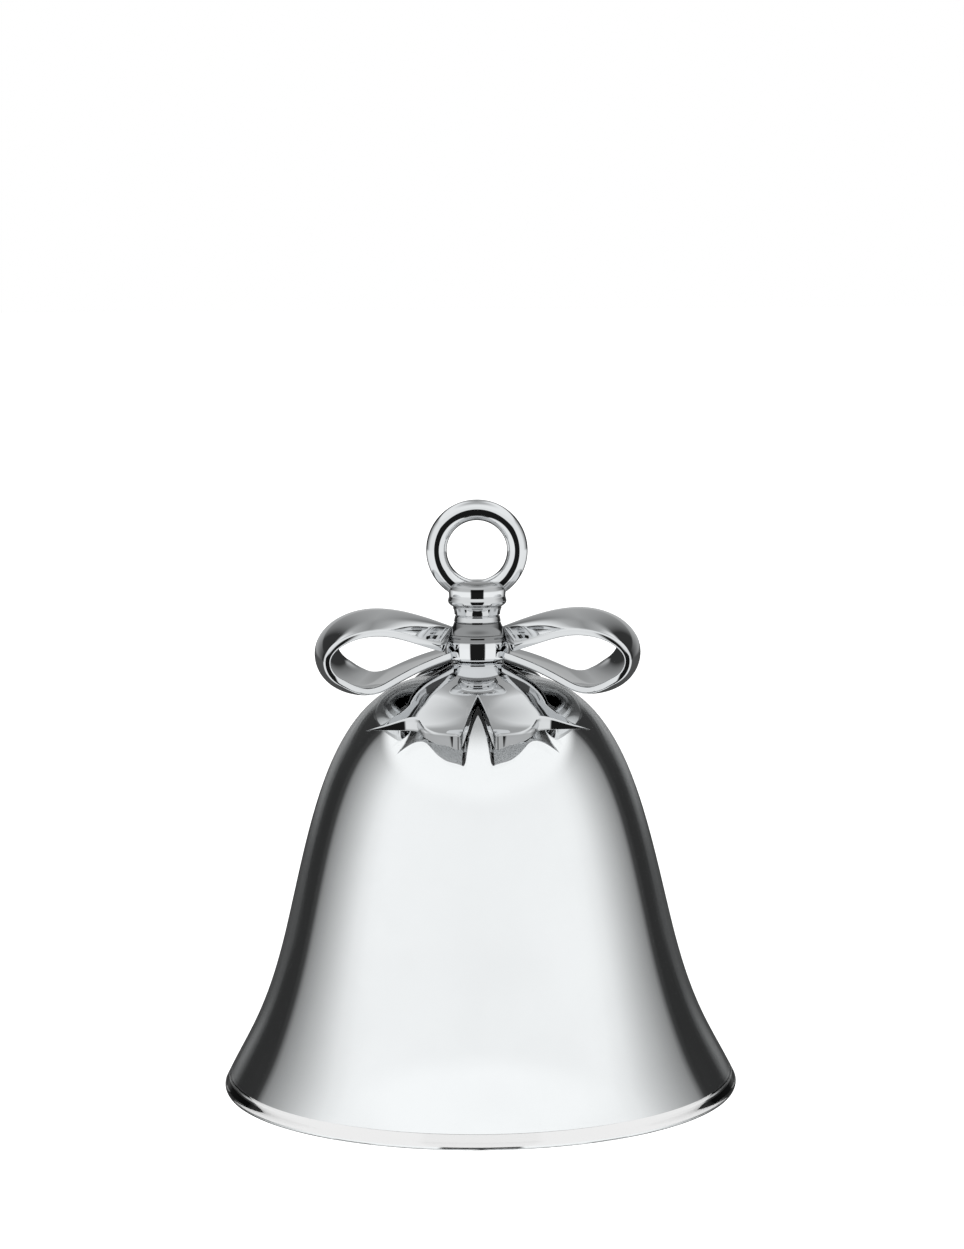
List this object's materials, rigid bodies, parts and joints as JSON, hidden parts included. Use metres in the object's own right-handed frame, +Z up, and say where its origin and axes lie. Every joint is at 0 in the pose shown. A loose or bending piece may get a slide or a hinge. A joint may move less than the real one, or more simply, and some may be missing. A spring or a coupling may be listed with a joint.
{
  "type": "hanging bell ornament",
  "caption": "Mirrored bell ornament with a clear rounded rim, a cast ribbon bow with tails, a turned neck, a hanging ring and a swinging clapper.",
  "frame": {"origin": "centre of the circle that the rim stands on", "axes": "+Z up along the bell's axis, towards the hanging ring; -Y is the front, and +X is the right-hand bow loop"},
  "size_m": [0.0866, 0.0866, 0.0999],
  "materials": {
    "cast_chrome": "polished chrome plate on a zinc casting",
    "clear_glass": "clear, fire polished",
    "silvering": "silvered, seen through the clear wall",
    "soft_seal": "matt moulded",
    "steel": "plain turned",
    "brass": "turned, uncoated",
    "ball_chrome": "polished"
  },
  "bodies": {
    "bell": {"hanging_ring": "cast_chrome", "neck_collar": "cast_chrome", "ribbon_knot": "cast_chrome", "bow_loop_left": "cast_chrome", "bow_loop_right": "cast_chrome", "front_tails": "cast_chrome", "back_tails": "cast_chrome", "cap_boss": "cast_chrome", "crown_gasket": "soft_seal", "clear_bell": "clear_glass", "mirror_lining": "silvering", "inner_seal": "soft_seal", "inner_washer": "steel", "crown_nut": "brass", "centre_stud": "steel", "swivel_cup": "brass"},
    "swivel": {"swivel_eye": "steel"},
    "clapper": {"clapper_rod": "steel", "clapper_ball": "ball_chrome"}
  },
  "joints": [
    {"name": "swivel_turn", "type": "hinge", "parent": "bell", "child": "swivel", "pos_m": [0, 0, 0.0573], "axis": [0, 0, 1], "continuous": true},
    {"name": "clapper_swing", "type": "hinge", "parent": "swivel", "child": "clapper", "pos_m": [0, 0, 0.05675], "axis": [0, 1, 0], "range_deg": [-37, 37]}
  ]
}
